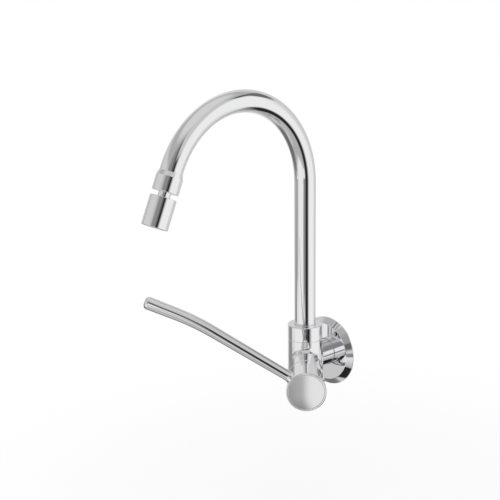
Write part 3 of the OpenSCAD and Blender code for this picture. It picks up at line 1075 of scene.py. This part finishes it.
@dataclass
class Lever(Assembly):
    """The hub, its cap and the long bar.

    Places along the valve's axis count from the upright's axis, and those along
    the bar from the valve's.
    """

    body: Body = Body.LEVER
    hub_at: float = 61.0
    face: float = 101.0
    drum_r: float = 18.5
    drum_wall: float = 3.0
    recess: float = 2.0
    bore_r: float = 4.05
    hub_r: float = 19.89
    lip: float = 4.0
    hub_round: float = 0.8
    cap_r: float = 17.9
    cap_t: float = 3.0
    dish: float = 0.3
    rim_dip: float = 0.04
    lever_at: float = 85.0
    rise_deg: float = 32.0
    run: float = 127.5
    bend_deg: float = 9.6
    bend_r: float = 240.0
    end: float = 53.4
    root_r: float = 5.2
    tip_r: float = 6.5
    seat: float = 17.4
    flare: float = 1.1
    flare_at: float = 0.7
    flare_len: float = 1.5
    tip_round: float = 4.4

    def hub(self) -> Piece:
        """The drum, with a rounded lip at its face and a recess for the cap.

        Returns:
            The new piece.
        """
        face, r, back = self.face, self.hub_r, self.face - self.cap_t
        lip, inner, edge = face - self.lip, self.drum_r - self.drum_wall, self.cap_r + GAP
        floor = self.hub_at + self.recess
        return turned("plated_lever_hub", VALVE, [
            (self.hub_at, inner), (self.hub_at, self.drum_r, 0.8), (lip, self.drum_r, 0.3),
            (lip, r, 0.6), (face, r, self.hub_round), (face - self.rim_dip, edge, 0.06),
            (back, edge), (back, self.bore_r), (floor, self.bore_r), (floor, inner)], WIDE)

    def cap(self) -> Piece:
        """The cap: its face sinks by dish * (1 - (r / edge)^2) towards the middle.

        Returns:
            The new piece.
        """
        face, edge, back = self.face, self.cap_r, self.face - self.cap_t
        r = np.concatenate([np.linspace(0, edge - 0.4, 24), [edge - 0.25]])
        front = face - self.rim_dip - self.dish * (1 - (r / edge) ** 2)
        outline = np.concatenate([
            np.stack([front, r], -1),
            [[face - 0.12, edge - 0.08], [face - 0.3, edge], [back, edge], [back, 0]]])
        rows = turned_rows(VALVE, supported(outline, False, least=1.5), LARGE)
        return piece_from_rows("plated_hub_cap", rows, Ends.POLES, sharp=50)

    def bar(self) -> Piece:
        """The bar: a circle carried along a line with one shallow bend.

        Its radius grows evenly from the root to the tip, flares by
        flare * exp(-distance / flare_len) where it leaves the hub, and rounds off
        over the last tip_round as a quarter circle does.

        Returns:
            The new piece.
        """
        rise, bend = math.radians(self.rise_deg), math.radians(self.bend_deg)
        bend_half = self.bend_r * math.tan(bend / 2)
        straight = self.run - bend_half
        arc = self.bend_r * bend
        total = straight + arc + self.end - bend_half
        along = np.concatenate([
            np.linspace(self.seat - 1, self.seat + 8, 28), [60, 90, straight - 1],
            np.linspace(straight, straight + arc, 40), [straight + arc + 1],
            [total - 16], total - self.tip_round + self.tip_round
            * np.sin(np.linspace(0, math.pi / 2, 14)), [total]])
        turn = np.clip((along - straight) / self.bend_r, 0, bend)
        past = np.maximum(along - straight - arc, 0)
        x = np.minimum(along, straight) + self.bend_r * np.sin(turn) + past * math.cos(bend)
        x = np.where(along > straight, x, along)
        drop = self.bend_r * (1 - np.cos(turn)) + past * math.sin(bend)
        way_x, way_d = np.cos(turn), np.sin(turn)
        grow = (along - self.seat) / (total - self.seat)
        r = self.root_r + (self.tip_r - self.root_r) * grow
        from_flare = np.abs(along - self.seat - self.flare_at)
        r = r + self.flare * np.exp(-from_flare / self.flare_len)
        depth = np.clip(along - (total - self.tip_round), 0, self.tip_round)
        r = r - self.tip_round + np.sqrt(np.maximum(self.tip_round ** 2 - depth ** 2, 0))
        r[-1] = 0.0
        side, up, out = np.array(VALVE.side), np.array([0.0, 0, 1]), np.array(VALVE.along)
        ahead = -math.cos(rise) * side + math.sin(rise) * up
        below = -math.sin(rise) * side - math.cos(rise) * up
        path = (np.array(VALVE.origin) + self.lever_at * out + x[:, None] * ahead
                + drop[:, None] * below)
        way = way_x[:, None] * ahead + way_d[:, None] * below
        rows = tube_rows(path, way, out, r, SMALL)
        start = np.repeat(path[:1, None, :], SMALL, axis=1)
        rows = np.concatenate([start, rows])
        return piece_from_rows("plated_lever_bar", rows, Ends.POLES)

    def build(self) -> None:
        """Makes the hub, cap and bar, and finishes the nodes that stay."""
        self.dress(self.hub(), CAST_CHROME, "lever_hub")
        self.dress(self.cap(), SHEET_CHROME, "hub_cap")
        self.dress(self.bar(), CAST_CHROME, "lever_rod")
        self.finish_nodes({
            "hub_screw": STEEL, "spindle": BRASS, "spindle_o_ring": RUBBER,
            "moving_disc": CERAMIC, "spindle_clip": STEEL})


# ---- studio ----


@dataclass(frozen=True)
class Panel:
    """An oval patch of the studio that polished metal mirrors.

    Attributes:
        bearing: its middle, in degrees to the right of the camera.
        height: its middle, in degrees above level.
        wide: half its width in degrees.
        tall: half its height in degrees.
        shade: how bright it is.
        soft: width of its edge as a share of its half sizes.
        square: 2 for an oval, and more for a squarer one.
    """

    bearing: float
    height: float
    wide: float
    tall: float
    shade: float
    soft: float = 0.5
    square: float = 2.0

    def mask(self, bearing: Value, height: Value) -> Value:
        """1 inside and 0 outside, where u^square + v^square = 1 is the middle of the edge.

        Args:
            bearing: degrees to the right of the camera.
            height: degrees above level.

        Returns:
            The mask.
        """
        u = (bearing - self.bearing).math("WRAP", 180.0, -180.0).math("ABSOLUTE") / self.wide
        v = (height - self.height).math("ABSOLUTE") / self.tall
        reach = u.math("POWER", self.square) + v.math("POWER", self.square)
        return reach.window((1 - self.soft / 2) ** self.square,
                            (1 + self.soft / 2) ** self.square)


# What polished metal mirrors, each panel painted over the ones before it.
PANELS = {
    "ceiling": Panel(0, 90, 400, 34, 0.70),
    "far_side": Panel(180, -2, 44, 44, 0.78),
    "left_lamp": Panel(-46, -19, 34, 24, 0.90, 0.6),
    "low_left": Panel(-110, -72, 75, 16, 0.62),
    "left_gap": Panel(-100, -14, 10, 24, 0.42, 0.8),
    "dim_corner": Panel(-122, -46, 32, 26, 0.16, 1.0),
    "high_left": Panel(-82, 20, 46, 12, 0.68, 0.8),
    "dim_top": Panel(-6, 28, 20, 14, 0.27, 1.1),
    "reflector": Panel(-4, 1, 7, 13, 1.0),
    "smear": Panel(-6, -14, 14, 5, 0.26, 0.7),
    "wall_grey": Panel(-90, -20.5, 9, 4, 0.62, 0.4),
    "wall_light": Panel(-90, -17.6, 8, 1.7, 0.88, 0.3),
    "face_light": Panel(-7.3, -22.3, 6.3, 5.2, 0.85, 0.3, 4.0),
    "side_dip": Panel(-163, -6, 9, 9, 0.25, 1.0),
    "left_slit": Panel(-17, 6, 7, 7, 0.15, 0.8),
    "frame": Panel(90, -11, 87, 55, 0.02, 0.12, 2.2),
    "upper_box": Panel(54, 37, 34, 18, 0.62, 0.4, 4.0),
    "light_box": Panel(104, -4, 71, 38, 0.93, 0.34, 2.4),
    "box_end": Panel(146, -8, 40, 44, 0.66, 0.7),
    "box_corner": Panel(122, 32, 17, 9, 0.15, 0.8),
    "slit": Panel(10, 28, 6, 18, 0.12, 0.6),
}


@dataclass
class Studio:
    """Floor, light, world and camera.

    Attributes:
        bearing: way the camera looks, in degrees from +Y towards -X.
        floor_z: height of the floor, below the lowest reach of the lever.
        shadow: share of the floor's real light that shows round its middle, and
            fades out between shadow_ends.
        room: how bright the even light is.
        mirrored: how bright metal mirrors the studio outside its panels.
        spot_at: middle of the dark patch below the body, a painted shadow that only metal
            mirrors.
        spot_r: half its width.
        spot_flat: how many times it is wider than deep.
        spot_soft: half the width of its edge as a share of spot_r.
        lamp_tip: the lamp's turn about X and Y, in degrees.
    """

    bearing: float = 46.8
    pitch: float = 14.56
    roll: float = 0.63
    camera_at: Point = (0.8676, -0.9285, 0.4409)
    lens: float = 89.8
    sensor: float = 36.0
    floor_z: float = -0.172
    shadow: float = 0.16
    shadow_ends: tuple[float, float] = (0.1, 0.5)
    room: float = 0.6
    mirrored: float = 0.46
    spot_at: Point = (0.022, -0.042, -0.062)
    spot_r: float = 0.038
    spot_flat: float = 1.5
    spot_soft: float = 0.07
    spot_shade: float = 0.02
    lamp_at: Point = (0.25, -0.45, 1.6)
    lamp_tip: tuple[float, float] = (-14.0, 9.0)
    lamp_size: float = 1.6
    lamp_power: float = 9.0

    def square(self, name: str, z: float, reach: float) -> Shader:
        """A level square above or below the origin, with an empty material.

        Args:
            name: what the object and its material are called.
            z: its height.
            reach: half its side.

        Returns:
            The shader of its material.
        """
        corners = [(-reach, -reach, z), (reach, -reach, z), (reach, reach, z),
                   (-reach, reach, z)]
        mesh = bpy.data.meshes.new(name)
        mesh.from_pydata(corners, [], [(0, 1, 2, 3)])
        material = bpy.data.materials.new(name)
        material.use_nodes = True
        mesh.materials.append(material)
        square = linked(name, mesh)
        return Shader(material.node_tree)

    def floor(self) -> None:
        """A wide pale floor, white to the camera apart from the object's soft shadow.

        Metal mirrors the studio in its place.
        """
        shader = self.square("studio_floor", self.floor_z, reach=8.0)
        cloud = shader.noise(6.0, 3.0)
        paint = shader.node("ShaderNodeBsdfDiffuse", None, {
            "Color": shader.mix_colours(cloud, (0.94, 0.94, 0.94), (0.96, 0.96, 0.96))})
        white = shader.node("ShaderNodeEmission", None, {"Strength": 1.0})
        seen = shader.node("ShaderNodeLightPath", output="Is Camera Ray")
        near = self.away(shader, (0, 0, self.floor_z)).window(*self.shadow_ends)
        far = 1 - self.shadow * near
        lit = shader.node("ShaderNodeMixShader", None, {0: seen * far, 1: paint, 2: white})
        clear = shader.node("ShaderNodeBsdfTransparent")
        both = shader.node("ShaderNodeMixShader", None, {
            0: seen.other("Is Glossy Ray"), 1: lit, 2: clear})
        shader.node("ShaderNodeOutputMaterial", None, {"Surface": both})

    def patch(self) -> None:
        """A small dark patch below the body, which only metal mirrors: a painted shadow that
        stands in for the shade under the body in the reflections.
        """
        shader = self.square("studio_patch", self.spot_at[2], reach=0.12)
        clear = shader.node("ShaderNodeBsdfTransparent")
        # painted shadow: a near-black emission that reflections show where the shade under the
        # body falls
        dark = shader.node("ShaderNodeEmission", None, {"Strength": self.spot_shade})
        spot = self.away(shader, self.spot_at, self.spot_flat)
        spot = spot.window(self.spot_r * (1 - self.spot_soft), self.spot_r * (1 + self.spot_soft))
        mirrored = shader.node("ShaderNodeLightPath", output="Is Glossy Ray")
        both = shader.node("ShaderNodeMixShader", None, {0: spot * mirrored, 1: clear, 2: dark})
        shader.node("ShaderNodeOutputMaterial", None, {"Surface": both})

    @staticmethod
    def away(shader: Shader, middle: Point, flat: float = 1.0) -> Value:
        """Distance from a point of a level square, with depths counted flat times."""
        spot = (middle[0], middle[1] * flat, middle[2])
        return shader.node("ShaderNodeVectorMath", {"operation": "DISTANCE"},
                           {0: shader.stretched((1.0, flat, 1.0)), 1: spot}, output="Value")

    def world(self) -> None:
        """White behind the object, even light on it, and panels that only metal mirrors.

        A direction's bearing and height are the angles of its x, y and z once they
        are turned by the camera's bearing. Each panel's mask m changes the shade s
        to (1 - m) s + m times its own.
        """
        world = bpy.data.worlds.new("studio_world")
        bpy.context.scene.world = world
        world.use_nodes = True
        shader = Shader(world.node_tree)
        way = shader.node("ShaderNodeTexCoord", output="Generated")
        turned_way = shader.node("ShaderNodeVectorRotate", {"rotation_type": "Z_AXIS"}, {
            "Vector": way, "Angle": -math.radians(self.bearing)})
        x = shader.node("ShaderNodeSeparateXYZ", None, {0: turned_way})
        y, z = x.other("Y"), x.other("Z")
        degree = 180 / math.pi
        bearing = x.math("ARCTAN2", -1.0 * y) * degree
        height = z.math("ARCSINE") * degree
        shade: Value | float = self.mirrored
        for panel in PANELS.values():
            mask = panel.mask(bearing, height)
            shade = (1 - mask) * shade + mask * panel.shade
        camera = shader.node("ShaderNodeLightPath", output="Is Camera Ray")
        glossy = camera.other("Is Glossy Ray")
        level = camera + (1 - camera) * (glossy * shade + (1 - glossy) * self.room)
        back = shader.node("ShaderNodeBackground", None, {
            "Color": (1, 1, 1, 1), "Strength": level})
        shader.node("ShaderNodeOutputWorld", None, {"Surface": back})

    def lamp(self) -> None:
        """One broad soft lamp above, which metal does not mirror."""
        light = bpy.data.lights.new("soft_lamp", "AREA")
        light.shape, light.size, light.energy = "DISK", self.lamp_size, self.lamp_power
        lamp = linked("soft_lamp", light)
        lamp.location = self.lamp_at
        lamp.rotation_euler = (*(math.radians(tip) for tip in self.lamp_tip), 0)
        lamp.visible_glossy = False

    def camera(self) -> None:
        """The camera, turned to its bearing, pitched down and rolled a little."""
        data = bpy.data.cameras.new("camera")
        data.lens, data.sensor_width = self.lens, self.sensor
        data.clip_start, data.clip_end = 0.05, 60.0
        camera = linked("camera", data)
        turn, tip, roll = (math.radians(d) for d in (self.bearing, self.pitch, self.roll))
        ahead = np.array([-math.sin(turn) * math.cos(tip), math.cos(turn) * math.cos(tip),
                          -math.sin(tip)])
        right = np.array([math.cos(turn), math.sin(turn), 0.0])
        up = np.cross(right, ahead)
        right, up = (right * math.cos(roll) - up * math.sin(roll),
                     up * math.cos(roll) + right * math.sin(roll))
        matrix = np.eye(4)
        matrix[:3, 0], matrix[:3, 1], matrix[:3, 2] = right, up, -ahead
        matrix[:3, 3] = self.camera_at
        camera.matrix_world = Matrix(matrix.tolist())
        bpy.context.scene.camera = camera

    def build(self) -> None:
        """Sets up everything that is not the object."""
        bpy.context.scene.view_settings.view_transform = "Standard"
        self.floor()
        self.patch()
        self.world()
        self.lamp()
        self.camera()
        LOG.info("studio: floor, patch, world, lamp and camera")


def main() -> None:
    """Loads the frame, builds and finishes every piece, and sets up the studio."""
    logging.basicConfig(level=logging.INFO, format="%(name)s %(message)s")
    for stray in list(bpy.data.objects):
        bpy.data.objects.remove(stray)
    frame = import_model()
    LOG.info("frame: %d nodes", len(frame["nodes"]))
    assemblies: list[Assembly] = [Casting(), Spout(), BallJoint(), Aerator(), Lever()]
    for assembly in assemblies:
        assembly.build()
        assembly.report()
    Studio().build()
    bpy.context.view_layer.update()


if __name__ == "__main__":
    main()
